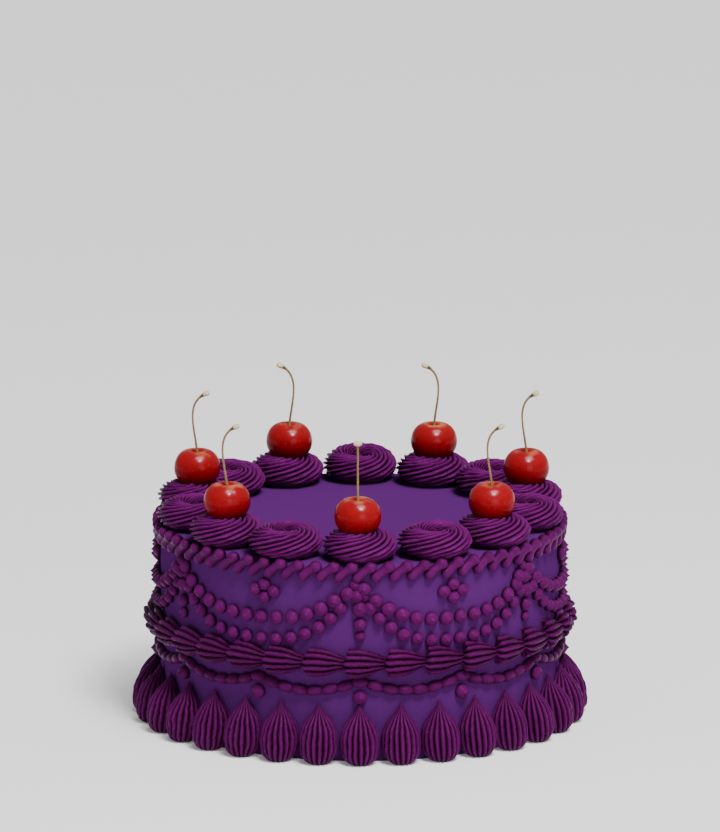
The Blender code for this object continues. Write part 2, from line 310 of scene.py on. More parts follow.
def smooth_outline(points, count):
    """Many values on a smooth curve through a few, which are given against their first number."""
    points = np.array(points)
    spots = np.linspace(points[0, 0], points[-1, 0], count)
    columns = [spots]
    for column in points.T[1:]:
        slopes = np.gradient(column, points[:, 0])
        place = np.clip(np.searchsorted(points[:, 0], spots, side="right") - 1, 0, len(points) - 2)
        span = points[place + 1, 0] - points[place, 0]
        u = (spots - points[place, 0]) / span
        low = (2 * u**3 - 3 * u**2 + 1) * column[place] + (u**3 - 2 * u**2 + u) * span * slopes[place]
        high = (3 * u**2 - 2 * u**3) * column[place + 1] + (u**3 - u**2) * span * slopes[place + 1]
        columns.append(low + high)
    return columns


def waves(points, size, random, count=9):
    """Smooth noise between about -1 and 1 at each point, with bumps of this size."""
    total = np.zeros(points.shape[:-1])
    for _ in range(count):
        way = random.normal(size=3)
        way /= np.linalg.norm(way)
        pitch = tau / size * random.uniform(0.6, 1.4)
        total += np.sin(points @ way * pitch + random.uniform(0, tau))
    return total / np.sqrt(count) * 0.9


def bumps(points, kind, random):
    """Height at each point of bumps of one kind, which is their size and height."""
    size, height = kind
    return waves(points, size, random) * height


# Meshes

class Batch:
    """Points, faces and a shade for each point, gathered for one mesh."""

    def __init__(self):
        self.points = []
        self.faces = []
        self.shades = []
        self.count = 0

    def loft(self, rings, shades):
        """Adds a closed skin through rings of points, with a tip at both ends."""
        rows, columns, _ = rings.shape
        tips = np.array([rings[0].mean(0), rings[-1].mean(0)])
        self.points += [rings.reshape(-1, 3), tips]
        self.shades += [shades.reshape(-1), [shades[0].mean(), shades[-1].mean()]]
        row = np.arange(rows - 1)[:, None] * columns
        here = np.arange(columns)
        after = (here + 1) % columns
        quads = np.stack([row + here, row + after, row + columns + after, row + columns + here], axis=-1)
        last = (rows - 1) * columns
        first_tip = np.stack([np.full(columns, rows * columns), after, here], axis=-1)
        last_tip = np.stack([np.full(columns, rows * columns + 1), last + here, last + after], axis=-1)
        corners = [quads.reshape(-1, 4), first_tip, last_tip]
        if skin_volume(np.concatenate([rings.reshape(-1, 3), tips]), corners) < 0:
            corners = [faces[:, ::-1] for faces in corners]
        for faces in corners:
            self.faces += (faces + self.count).tolist()
        self.count += rows * columns + 2

    def piece(self, name, material, nodes=()):
        """Makes the mesh object, lets it ride on the cake and stand for these solids."""
        mesh = bpy.data.meshes.new(name)
        mesh.from_pydata(np.concatenate(self.points).tolist(), [], self.faces)
        # Per-point value: painted shading on the piping, share of the height on a cherry, share of the length
        # on a stalk
        shades = mesh.attributes.new("shade_and_place", "FLOAT", "POINT")
        shades.data.foreach_set("value", np.concatenate(self.shades).astype(np.float32))
        mesh.materials.append(material)
        mesh.shade_smooth()
        made = bpy.data.objects.new(name, mesh)
        bpy.context.scene.collection.objects.link(made)
        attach(made, "root")
        if nodes:
            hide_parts(*nodes)


def skin_volume(points, corners):
    """Six times the volume inside the faces, below zero where they face inwards."""
    total = 0.0
    for faces in corners:
        for i in range(1, faces.shape[1] - 1):
            a, b, c = points[faces[:, 0]], points[faces[:, i]], points[faces[:, i + 1]]
            total += np.einsum("ij,ij->", a, np.cross(b, c))
    return total


def on_wall(angle, height, radius):
    """Axes and origin of a spot on the wall: rows point right, up and out."""
    right = np.array([cos(angle), sin(angle), 0.0])
    out = np.array([sin(angle), -cos(angle), 0.0])
    return np.array([right, [0.0, 0.0, 1.0], out]), out * radius + [0.0, 0.0, height]


def round_cake(reach, angle, height):
    """Points round the cake, at a reach from its middle, an angle from the front and a height."""
    places = (reach * np.sin(angle), -reach * np.cos(angle), height)
    return np.stack(np.broadcast_arrays(*places), axis=-1)


def turned(reach, turn, height):
    """Points at a reach and a turn round the upright axis, at a height."""
    places = (reach * np.cos(turn), reach * np.sin(turn), height)
    return np.stack(np.broadcast_arrays(*places), axis=-1)


def spin_of(angle):
    """A turn round the upright axis, for points as rows."""
    return np.array([[cos(angle), sin(angle), 0.0], [-sin(angle), cos(angle), 0.0], [0.0, 0.0, 1.0]])


def crests(phase):
    """Rounded crests between narrow grooves: 1 on a crest, and 0 where the phase is a whole turn."""
    return np.abs(np.sin(phase / 2)) ** 0.8


def around(radius, angle):
    """A spot on a level circle round the cake."""
    return np.array([radius * sin(angle), -radius * cos(angle)])


# Materials

def new_material(name):
    """An empty node material and its shader."""
    material = bpy.data.materials.new(name)
    material.use_nodes = True
    return material, material.node_tree, material.node_tree.nodes["Principled BSDF"]


def mix_colours(tree, factor, first, second):
    """A mix of two colours, each a value or a socket."""
    mix = tree.nodes.new("ShaderNodeMix")
    mix.data_type = "RGBA"
    tree.links.new(factor, mix.inputs["Factor"])
    for name, colour in (("A", first), ("B", second)):
        socket = next(s for s in mix.inputs if s.name == name and s.type == "RGBA")
        if isinstance(colour, bpy.types.NodeSocket):
            tree.links.new(colour, socket)
        else:
            socket.default_value = (*colour, 1.0)
    return next(s for s in mix.outputs if s.type == "RGBA")


def span(tree, value, low, high, to_low=0.0, to_high=1.0):
    """A value moved smoothly from one range to another, and held at its ends."""
    node = tree.nodes.new("ShaderNodeMapRange")
    node.interpolation_type = "SMOOTHSTEP"
    tree.links.new(value, node.inputs["Value"])
    node.inputs["From Min"].default_value = low
    node.inputs["From Max"].default_value = high
    node.inputs["To Min"].default_value = to_low
    node.inputs["To Max"].default_value = to_high
    return node.outputs["Result"]


def noise(tree, where, scale, detail, roughness=0.5):
    """A noise texture's value."""
    node = tree.nodes.new("ShaderNodeTexNoise")
    node.inputs["Scale"].default_value = scale
    node.inputs["Detail"].default_value = detail
    node.inputs["Roughness"].default_value = roughness
    tree.links.new(where, node.inputs["Vector"])
    return node.outputs["Fac"]


def sum_of(tree, first, second, weight):
    """The first value plus the second times its weight."""
    node = tree.nodes.new("ShaderNodeMath")
    node.operation = "MULTIPLY_ADD"
    tree.links.new(second, node.inputs[0])
    node.inputs[1].default_value = weight
    tree.links.new(first, node.inputs[2])
    return node.outputs[0]


def icing_grain():
    """Group: the airy grain of buttercream, as a slow mottle and a fine height."""
    group = bpy.data.node_groups.get("icing grain")
    if group:
        return group
    group = bpy.data.node_groups.new("icing grain", "ShaderNodeTree")
    group.interface.new_socket("Where", in_out="INPUT", socket_type="NodeSocketVector")
    group.interface.new_socket("Mottle", in_out="OUTPUT", socket_type="NodeSocketFloat")
    group.interface.new_socket("Height", in_out="OUTPUT", socket_type="NodeSocketFloat")
    enter = group.nodes.new("NodeGroupInput")
    leave = group.nodes.new("NodeGroupOutput")
    where = enter.outputs["Where"]
    slow = noise(group, where, 55.0, 3.0)
    whipped = noise(group, where, 420.0, 4.0, 0.6)
    pores = noise(group, where, 1900.0, 2.0, 0.7)
    pits = span(group, pores, 0.30, 0.45)
    height = sum_of(group, whipped, pits, 0.35)
    group.links.new(slow, leave.inputs["Mottle"])
    group.links.new(height, leave.inputs["Height"])
    return group


def icing(name, crest, groove_shade_and_mottle, grain, roughness, shine):
    """Satin buttercream with painted shade: darker in its grooves, hollows and undersides, slowly mottled,
    with a fine airy grain.
    """
    material, tree, shader = new_material(name)
    where = tree.nodes.new("ShaderNodeTexCoord").outputs["Object"]
    texture = tree.nodes.new("ShaderNodeGroup")
    texture.node_tree = icing_grain()
    tree.links.new(where, texture.inputs["Where"])
    shade_and_place = tree.nodes.new("ShaderNodeAttribute")
    shade_and_place.attribute_name = "shade_and_place"
    # Painted shade: the mesh's per-point value mixes the crest colour down to the groove colour
    colour = mix_colours(tree, span(tree, shade_and_place.outputs["Fac"], 0.10, 1.0), groove_shade_and_mottle, crest)
    tint = mix_colours(tree, span(tree, texture.outputs["Mottle"], 0.35, 0.65, 0.0, 0.16), colour, groove_shade_and_mottle)
    tree.links.new(tint, shader.inputs["Base Color"])
    dull = span(tree, texture.outputs["Height"], 0.3, 0.9, roughness + 0.08, roughness - 0.06)
    tree.links.new(dull, shader.inputs["Roughness"])
    bump = tree.nodes.new("ShaderNodeBump")
    bump.inputs["Distance"].default_value = grain
    tree.links.new(texture.outputs["Height"], bump.inputs["Height"])
    tree.links.new(bump.outputs["Normal"], shader.inputs["Normal"])
    shader.inputs["Specular IOR Level"].default_value = shine
    shader.inputs["Specular Tint"].default_value = (*tint_of_shine(crest), 1.0)
    return material


def tint_of_shine(colour):
    """A paler tint of the icing, for its soft highlights."""
    return [0.25 + 0.75 * value / max(colour) for value in colour]


def wall_icing():
    """Smooth icing of the wall and top, without shine."""
    tint = colours()
    darker = [value * 0.86 for value in tint.wall]
    return icing("smooth buttercream", tint.wall, darker, grain=0.00005, roughness=0.62, shine=0.0)


def piped_icing():
    """Icing of all that is piped, made once."""
    return bpy.data.materials.get("piped buttercream") or icing(
        "piped buttercream", colours().crest, colours().groove_shade_and_mottle, grain=0.00045, roughness=0.36, shine=0.05
    )


def cherry_skin():
    """Red skin, wet above, with painted light: lighter on top and darker underneath, with a pale blush round
    the dimple that is partly its own tint and partly a painted highlight, and faint flecks.
    """
    tint = colours()
    material, tree, shader = new_material("cherry skin")
    where = tree.nodes.new("ShaderNodeTexCoord").outputs["Object"]
    height = tree.nodes.new("ShaderNodeAttribute")
    height.attribute_name = "shade_and_place"
    streaks = noise(tree, where, 210.0, 3.0)
    patches = noise(tree, where, 130.0, 2.0)
    flecks = noise(tree, where, 1500.0, 1.0)
    level = sum_of(tree, height.outputs["Fac"], streaks, 0.22)
    rim = sum_of(tree, height.outputs["Fac"], patches, 0.50)
    # Painted light and shade: lighter towards the top, darker underneath, broken up by streaks
    red = mix_colours(tree, span(tree, level, 0.20, 0.95), tint.cherry_shaded_bottom, tint.cherry_lit_top)
    # Pale shoulder patches on the topmost part: partly the skin's own tint, partly a painted highlight
    blush_and_highlight = mix_colours(tree, span(tree, rim, 1.14, 1.38, 0.0, 0.85), red, tint.cherry_blush_and_highlight)
    pale = mix_colours(tree, span(tree, flecks, 0.66, 0.74, 0.0, 0.12), blush_and_highlight, tint.cherry_blush_and_highlight)
    tree.links.new(pale, shader.inputs["Base Color"])
    shader.inputs["Roughness"].default_value = 0.30
    shader.inputs["Specular IOR Level"].default_value = 0.05
    shader.inputs["Specular Tint"].default_value = (1.0, 0.45, 1.0, 1.0)
    wet = span(tree, height.outputs["Fac"], 0.46, 0.72, 0.0, 0.45)
    tree.links.new(wet, shader.inputs["Coat Weight"])
    shader.inputs["Coat Roughness"].default_value = 0.20
    bump = tree.nodes.new("ShaderNodeBump")
    bump.inputs["Strength"].default_value = 0.06
    bump.inputs["Distance"].default_value = 0.0003
    tree.links.new(streaks, bump.inputs["Height"])
    tree.links.new(bump.outputs["Normal"], shader.inputs["Normal"])
    return material


def stalk_bark():
    """Tan stalk, greener in places, with a darker band just under a pale head."""
    tint = colours()
    material, tree, shader = new_material("cherry stalk")
    where = tree.nodes.new("ShaderNodeTexCoord").outputs["Object"]
    along = tree.nodes.new("ShaderNodeAttribute")
    along.attribute_name = "shade_and_place"
    share = along.outputs["Fac"]
    fibre = noise(tree, where, 900.0, 3.0)
    greener = (tint.stalk[0] * 0.62, tint.stalk[1] * 0.72, tint.stalk[2] * 0.5)
    darker = [value * 0.25 for value in tint.stalk]
    bark = mix_colours(tree, span(tree, fibre, 0.35, 0.65), greener, tint.stalk)
    # Darker band just under the flared head
    band_under_head = mix_colours(tree, span(tree, share, 0.84, 0.90), bark, darker)
    head = mix_colours(tree, span(tree, share, 0.905, 0.925), band_under_head, tint.stalk_head)
    tree.links.new(head, shader.inputs["Base Color"])
    shader.inputs["Roughness"].default_value = 0.6
    bump = tree.nodes.new("ShaderNodeBump")
    bump.inputs["Strength"].default_value = 0.3
    bump.inputs["Distance"].default_value = 0.0002
    tree.links.new(fibre, bump.inputs["Height"])
    tree.links.new(bump.outputs["Normal"], shader.inputs["Normal"])
    return material


# Pieces

def ice_cake():
    """The smooth wall and top, with the faint unevenness that a palette knife leaves."""
    size = sizes()
    radius, height, edge = size.cake_radius, size.cake_height, size.edge_radius
    wall = [(radius, level) for level in np.linspace(0.0, height - edge, 26)]
    bend = np.linspace(0, pi / 2, 9)[1:]
    corner = [(radius - edge + edge * cos(a), height - edge + edge * sin(a)) for a in bend]
    top = [(level, height) for level in np.linspace(radius - edge, 0.002, 22)[1:]]
    outline = np.array(wall + corner + top)
    turns = np.linspace(0, tau, 240, endpoint=False)
    rings = round_cake(outline[:, :1], turns, outline[:, 1:])
    random = np.random.default_rng(SEED)
    strokes = bumps(rings * [1.0, 1.0, 2.5], KNIFE_WAVES, random)
    rings[..., :2] *= 1.0 - np.abs(strokes)[..., None] / radius
    rings[..., 2] -= np.abs(strokes) * (outline[:, 1:] > height / 2)
    batch = Batch()
    batch.loft(rings, np.ones(rings.shape[:2]))
    batch.piece("iced_cake", wall_icing(), ["cake_body"])


def swag_joints():
    """Angles of the joints between swags: three seen in front, the others evenly behind."""
    rear = LEFT_JOINT + tau - RIGHT_JOINT
    return [FRONT_JOINT] + [RIGHT_JOINT + rear * step / REAR_SWAGS for step in range(REAR_SWAGS + 1)]


def swag_row(start, end, dots, reach, spread, low, rise, power, dot_size):
    """Angle, height and size of each dot of one row, closer together where the row climbs."""
    along = np.linspace(-1, 1, dots)
    u = reach * np.sin(spread * along) / sin(spread)
    middle, half = (start + end) / 2, (end - start) / 2
    return [(middle + half * x, low + rise * abs(x) ** power, dot_size) for x in u]


def dot_places():
    """Angle, height and size of every round dot on the wall."""
    size = sizes()
    joints = swag_joints()
    ends = joints[1:] + [LEFT_SWAG_END + tau]
    flowers = [(start + end) / 2 for start, end in zip(joints[:-1], joints[1:])] + [LEFT_FLOWER]
    places = []
    for start, end, flower in zip(joints, ends, flowers):
        places += swag_row(start, end, *UPPER_ROW)
        places += swag_row(start, end, *LOWER_ROW)
        for centre, group in ((flower, FLOWER_DOTS), (start, KNOT_DOTS)):
            places += [(centre + aside / size.cake_radius, height, wide) for aside, height, wide in group]
    for i in range(size.scallops):
        places.append((tau * i / size.scallops, size.crest_dot, size.crest_dot_width))
    return places


def pipe_dots():
    """Round dots with a soft point, each a little different."""
    size = sizes()
    random = np.random.default_rng(SEED + 1)
    out, half = smooth_outline(DOT_OUTLINE, 13)
    turns = np.linspace(0, tau, 20, endpoint=False)
    batch = Batch()
    for angle, height, wide in dot_places():
        lean = random.normal(0, 0.035, 2)
        shape = np.zeros((len(out), len(turns), 3))
        squash = 1 + random.uniform(-0.04, 0.04)
        shape[..., 0] = half[:, None] * np.cos(turns) * squash + (out**2)[:, None] * lean[0] * 2
        shape[..., 1] = half[:, None] * np.sin(turns) / squash + (out**2)[:, None] * lean[1] * 2
        shape[..., 2] = out[:, None] * (1 + random.uniform(-0.06, 0.06))
        axes, spot = on_wall(angle, height, size.cake_radius)
        # Painted shade: each dot is darker at its rim against the wall and lighter towards its point
        lit = np.repeat(SMALL_PIPING_PAINTED_LIGHT * np.clip(0.25 + out / 0.42, 0, 1)[:, None], len(turns), 1)
        batch.loft(shape * wide * random.uniform(0.97, 1.03) @ axes + spot, lit)
    batch.piece("wall_dots", piped_icing())


def pipe_bars():
    """The rope border: slanted bars that swell to a knob at both ends."""
    size = sizes()
    random = np.random.default_rng(SEED + 2)
    run = np.array([BAR_SLANT * size.cake_radius, size.bar_high - size.bar_low, 0.0])
    stretch = np.linalg.norm(run)
    along = run / stretch
    across = np.array([-along[1], along[0], 0.0])
    out = np.array([0.0, 0.0, 1.0])
    share, half = smooth_outline(BAR_OUTLINE, 26)
    turns = np.linspace(0, tau, 16, endpoint=False)
    low, high = -BAR_FOOT_RUN, stretch + BAR_HEAD_RUN
    batch = Batch()
    for i in range(size.bar_count):
        centre = along * (low + (high - low) * share[:, None])
        centre = centre + across * np.sin(share * pi * 1.6 - 0.4)[:, None] * random.uniform(0.0002, 0.0005)
        centre = centre + out * BAR_LIFT
        width = half * random.uniform(0.96, 1.04)
        ring = across * np.cos(turns)[:, None] + out * np.sin(turns)[:, None]
        shape = centre[:, None] + width[:, None, None] * ring
        axes, spot = on_wall(BAR_START + tau * i / size.bar_count, size.bar_low, size.cake_radius)
        # Painted shade: each bar is darker on its side against the wall and lighter on its outer side
        lit = SMALL_PIPING_PAINTED_LIGHT * np.clip(0.25 + 0.38 * (np.sin(turns) + 1) + np.zeros((len(share), 1)), 0, 1)
        batch.loft(shape @ axes + spot, lit)
    batch.piece("rope_bars", piped_icing())


def pipe_string():
    """The string of long beads, which runs into itself from bead to bead."""
    size = sizes()
    random = np.random.default_rng(SEED + 3)
    beads = size.scallops * SCALLOP_BEADS
    caps = np.linspace(0.06, pi - 0.06, 13)
    turns = np.linspace(0, tau, 14, endpoint=False)
    batch = Batch()
    for i in range(beads):
        angle = tau * i / beads
        swing = size.scallops * angle / 2
        drop = size.string_trough - size.string_crest
        height = size.string_crest + drop * abs(sin(swing))
        tilt = drop * cos(swing) * np.sign(round(sin(swing), 6)) * size.scallops / 2 / size.cake_radius
        long = BEAD_HALF_LENGTH * random.uniform(0.97, 1.03)
        wide = BEAD_HALF_WIDTH * random.uniform(0.96, 1.04)
        body = np.sin(caps) ** 0.7
        shape = np.zeros((len(caps), len(turns), 3))
        shape[..., 0] = -long * np.cos(caps)[:, None]
        shape[..., 1] = wide * body[:, None] * np.cos(turns) + tilt * shape[..., 0]
        shape[..., 2] = wide * 1.15 * body[:, None] * np.sin(turns)
        axes, spot = on_wall(angle, height, size.cake_radius + 0.0002)
        # Painted shade: the beads are darker where they run into each other, and the whole string is painted
        # darker than the other piping for the shade under the shell border
        lit = np.clip(0.18 + 0.43 * body[:, None] + np.zeros(len(turns)), 0, 1)
        batch.loft(shape @ axes + spot, lit)
    batch.piece("bead_string", piped_icing())


def pipe_shells():
    """The middle border: ridged shells that swell at the left and taper under the next."""
    size = sizes()
    random = np.random.default_rng(SEED + 4)
    share, tall, proud = smooth_outline(SHELL_SWELL, 34)
    lift = np.linspace(-SHELL_WRAP, SHELL_WRAP, 84)
    pitch = tau / size.shell_count * size.cake_radius
    run = pitch * SHELL_OVERLAP
    batch = Batch()
    for i in range(size.shell_count):
        crest = crests(lift * SHELL_RIDGES + random.uniform(-1.5, 1.5))
        depth = SHELL_GROOVE * (1 - 0.25 * share)
        factor = 1 - depth[:, None] * (1 - crest)
        up = size.shell_half_height * tall[:, None] * factor * np.sin(lift)
        out = size.shell_reach * proud[:, None] * factor * np.cos(lift) - 0.0004
        face = np.exp(-share / 0.09)[:, None]
        ragged = waves(np.outer(lift, [3.0, 0.0, 0.0]), 1.0, random) * 0.0004
        side = run * share[:, None] + face * (0.0034 * (1 - crest) + 0.0036 * np.sin(lift) ** 2 + ragged)
        shape = np.stack([side + np.zeros_like(up), up, out], axis=-1)
        rough = bumps(shape, SHELL_GRAIN, random) + bumps(shape, SHELL_WAVES, random)
        shape[..., 1:] += rough[..., None]
        turn = SHELL_START + tau * i / size.shell_count + shape[..., 0] / size.cake_radius
        reach = size.cake_radius + shape[..., 2]
        rings = round_cake(reach, turn, size.shell_height + shape[..., 1])
        # Painted shade: darker in the grooves and towards the tail, which tucks under the next shell
        batch.loft(rings, SMALL_PIPING_PAINTED_LIGHT * crest**0.7 * (1 - 0.3 * share[:, None]))
    batch.piece("ridged_shells", piped_icing(), ["shell_border"])


def swirl_outline(rows, curl):
    """Radius and height of a rosette: from its foot over the bulge and rim, into the hole and up the curl."""
    size = sizes()
    # Distance from the axis to the top of the rim, reach from there into the hole, and the last radius
    core, fold, floor = 0.0096, 0.0060, 0.0004
    side = np.linspace(-radians(72), pi / 2, int(rows * 0.56), endpoint=False)
    below = size.rosette_bulge * (1 + np.sin(side))
    above = size.rosette_bulge + (size.rosette_height - size.rosette_bulge) * np.sin(side)
    inner = np.linspace(pi / 2, radians(170), int(rows * 0.30))
    last = np.linspace(0, 1, rows - len(side) - len(inner) + 1)[1:]
    radius = core + np.concatenate([(size.rosette_radius - core) * np.cos(side), fold * np.cos(inner)])
    fall = fold * 0.8 * (1 - np.sin(inner))
    height = np.concatenate([np.where(side < 0, below, above), size.rosette_height - fall])
    radius = np.concatenate([radius, radius[-1] + (floor - radius[-1]) * last])
    return radius, np.concatenate([height, height[-1] + curl * np.sin(last * pi / 2) ** 1.5])


def rosette_rings(i):
    """Rings of points of one rosette about its foot, and their shades: fine ridges wind up to its middle."""
    size = sizes()
    random = np.random.default_rng(SEED + 10 + i)
    opened = i % 2 == 1
    rows, steps = 70, 8
    turns = np.linspace(0, tau, size.rosette_ridges * steps, endpoint=False)
    phase = turns * size.rosette_ridges
    crest = crests(phase - 0.5 * (1 - np.cos(phase)))
    radius, height = swirl_outline(rows, ROSETTE_CURL if opened else 0.0)
    run = np.hypot(np.gradient(radius), np.gradient(height))
    square = np.stack([np.gradient(height), -np.gradient(radius)], axis=-1) / run[:, None]
    share = np.cumsum(run) / run.sum()

    # Grooves, each as deep as its own draw, and a grain
    fade = np.interp(share, [0, 0.1], [0.55, 1.0]) * np.clip(radius / 0.0110, 0.12, 1.0)
    uneven = 1 + random.uniform(-0.22, 0.22, size.rosette_ridges)[np.arange(len(turns)) // steps]
    sink = size.ridge_depth * fade[:, None] * (1 - crest) * uneven
    plain = turned(radius[:, None], turns, height[:, None])
    sink = sink + bumps(plain, ROSETTE_GRAIN, random) * fade[:, None]

    # Twist of the ridges as they climb
    climb = np.radians(np.interp(share, *zip(*RIDGE_CLIMB)))
    twist = np.cumsum(run / np.tan(climb) / np.maximum(radius, 0.004))
    turn = turns + twist[:, None] + random.uniform(0, tau) + bumps(plain, RIDGE_BENDS, random)
    rings = turned(radius[:, None] - square[:, :1] * sink, turn, height[:, None] - square[:, 1:] * sink)

    if opened:
        upper = np.clip((height - size.rosette_bulge) / (size.rosette_height - size.rosette_bulge), 0, 1)
        behind = np.clip((rings[..., 1] + 0.3 * rings[..., 0]) / 0.010, -0.3, 1.0)
        rings[..., 2] += REAR_TILTS.get(i, OPEN_TILT) * upper[:, None] * behind
    else:
        cup = np.exp(-(((radius - CUP_RADIUS) / CUP_SPREAD) ** 2))
        rings[..., 2] += CUP_TEETH * cup[:, None] * crest**2 * uneven

    # The middle strays to one side, and the whole is not quite round
    stray = random.normal(0, MIDDLE_STRAY, 2) - [MIDDLE_SHIFT, 0.0]
    rings[..., :2] += stray * (share**3)[:, None, None]
    swell = 1 + bumps(rings, ROSETTE_SWELL, random)
    rings[..., :2] *= swell[..., None]
    # Painted shade: darker in the grooves and towards the middle of the rosette
    return rings, crest * np.interp(radius, [0.003, 0.008], [0.6, 1.0])[:, None]


def pipe_rosettes():
    """Rosettes round the top, open ones between those that carry a cherry."""
    size = sizes()
    for i in range(size.rosette_count):
        rings, lit = rosette_rings(i)
        foot = [*around(size.rosette_ring, tau * i / size.rosette_count), size.cake_height]
        batch = Batch()
        batch.loft(rings + foot, lit)
        batch.piece(f"rosette_swirl_{i + 1:02d}", piped_icing(), [f"rosette_{i + 1:02d}"])


def cherry_shape(random):
    """A cherry about its centre: plump, with a dimple above, a faint seam and uneven cheeks."""
    size = sizes()
    fall = np.linspace(0.04, pi - 0.03, 52)
    turns = np.linspace(0, tau, 72, endpoint=False)
    plump = np.sin(fall) ** np.where(fall < pi / 2, 0.80, 0.94)
    radius = size.cherry_radius * plump
    height = size.cherry_half_height * np.cos(fall) * (1 + 0.05 * np.sin(fall) ** 2)
    dimple = (size.cherry_half_height - size.dimple_floor + 0.0004) * np.exp(-((radius / 0.0034) ** 2))
    height = np.where(fall < pi / 2, height - dimple, height)
    seam = np.exp(-((turns - pi) ** 2) / 0.02) * 0.00025
    cheek = radius[:, None] * (1 + 0.012 * np.cos(2 * turns + random.uniform(0, tau))) - seam * plump[:, None]
    rings = turned(cheek, turns, height[:, None])
    # Share of the height, which the skin uses for its painted light and shade
    level = (rings[..., 2] / size.cherry_half_height + 1) / 2
    return rings, np.clip(level, 0, 1)


def place_cherries():
    """Seven cherries on every second rosette, each with its stalk."""
    size = sizes()
    skin, bark = cherry_skin(), stalk_bark()
    for i in range(size.rosette_count // 2):
        random = np.random.default_rng(SEED + 40 + i)
        spot = np.array([*around(size.rosette_ring, 2 * tau * i / size.rosette_count), size.cherry_centre])
        spot[0] += CHERRY_SHIFTS[i % len(CHERRY_SHIFTS)]
        rings, level = cherry_shape(random)
        spin = random.uniform(0, tau)
        batch = Batch()
        batch.loft(rings @ spin_of(spin) + spot, level)
        batch.piece(f"cherry_fruit_{i + 1}", skin, [f"cherry_{i + 1}"])
        grow_stalk(i, spot, bark)


def grow_stalk(i, spot, bark):
    """A stalk that bows away from its lean and hooks back to a flared head."""
    size = sizes()
    lean, rise = STALK_LEANS.get(i, SIDE_STALK)
    lean, up = Vector(lean), Vector((0.0, 0.0, rise))
    root = Vector((0.0, 0.0, size.dimple_floor - 0.001))
    bow = root + up * 0.85 - lean * 0.0075
    spine = np.array(interpolate_bezier(root, root + up * 0.35, bow, root + up + lean * 0.005, 64))
    forward = np.gradient(spine, axis=0)
    forward /= np.linalg.norm(forward, axis=1)[:, None]
    head = np.linspace(0.0002, 0.0014, 10)[:, None]
    spine = np.concatenate([spine, spine[-1] + forward[-1] * head])
    forward = np.concatenate([forward, np.repeat(forward[-1:], len(head), 0)])
    walked = np.concatenate([[0], np.cumsum(np.linalg.norm(np.diff(spine, axis=0), axis=1))])
    share = walked / walked[-1]
    outline = np.array(STALK_OUTLINE)
    half = np.interp(share, outline[:, 0], outline[:, 1])
    sideways = np.cross([0.0, 1.0, 0.0] if abs(lean.x) > 0.5 else [1.0, 0.0, 0.0], forward)
    sideways /= np.linalg.norm(sideways, axis=1)[:, None]
    other = np.cross(forward, sideways)
    turns = np.linspace(0, tau, 16, endpoint=False)
    flat = np.interp(share, [0.90, 0.93], [0.0, 1.0])[:, None, None]
    thin = sideways[:, None] * np.cos(turns)[:, None] * (1 - 0.34 * flat)
    ring = thin + other[:, None] * np.sin(turns)[:, None] * (1 + 0.12 * flat)
    rings = spine[:, None] + half[:, None, None] * ring + spot
    batch = Batch()
    batch.loft(rings, share[:, None] + np.zeros(len(turns)))
    batch.piece(f"cherry_stalk_{i + 1}", bark)


def pipe_drops():
    """Ridged drops round the base, drawn up to a plain point and pressed on the wall."""
    size = sizes()
    share, half = smooth_outline(DROP_OUTLINE, 34)
    steps = 6
    turns = np.linspace(0, tau, DROP_RIDGES * steps, endpoint=False)
    crest = crests(turns * DROP_RIDGES)
    fade = np.interp(share, [0, 0.05, 0.74, 0.90, 1.0], [0.8, 1.0, 1.0, 0.45, 0.0])
    for i in range(size.drop_count):
        random = np.random.default_rng(SEED + 60 + i)
        uneven = 1 + random.uniform(-0.15, 0.15, DROP_RIDGES)[np.arange(len(turns)) // steps]
        factor = 1 - DROP_GROOVE * fade[:, None] * (1 - crest) * uneven
        turn = turns + random.uniform(-0.1, 0.1) + random.uniform(-0.12, 0.12) * share[:, None]
        reach = half[:, None] * factor
        axis = size.drop_axis + (size.drop_tip - size.drop_axis) * share[:, None]
        x = reach * np.sin(turn) + random.normal(0, 0.0005) * (share**3)[:, None]
        y = axis + reach * np.cos(turn)
        y = np.maximum(y, size.cake_radius - 0.001)
        rings = np.stack([x, -y, share[:, None] * size.drop_height + np.zeros_like(x)], axis=-1)
        rough = bumps(rings, DROP_GRAIN, random) + bumps(rings, DROP_WAVES, random)
        rings[..., :2] += (rough * (1 - share[:, None] ** 4))[..., None]
        place = tau * i / size.drop_count
        batch = Batch()
        # Painted shade: darker in the grooves; the plain point is painted between crest and groove
        batch.loft(rings @ spin_of(place), DROP_PIPING_PAINTED_LIGHT * (crest * fade[:, None] + (1 - fade[:, None]) * 0.7))
        batch.piece(f"base_drop_{i + 1:02d}", piped_icing(), [f"drop_{i + 1:02d}"])


# Stage

def look_at(thing, spot, target):
    """Puts a light or the camera at a spot, turned to the target."""
    thing.location = spot
    thing.rotation_euler = (Vector(target) - Vector(spot)).to_track_quat("-Z", "Y").to_euler()


def area_light(name, spot, target, wide, power):
    """A round soft light that shines at the target."""
    light = bpy.data.lights.new(name, "AREA")
    light.shape = "DISK"
    light.size = wide
    light.energy = power
    lamp = bpy.data.objects.new(name, light)
    bpy.context.scene.collection.objects.link(lamp)
    look_at(lamp, spot, target)


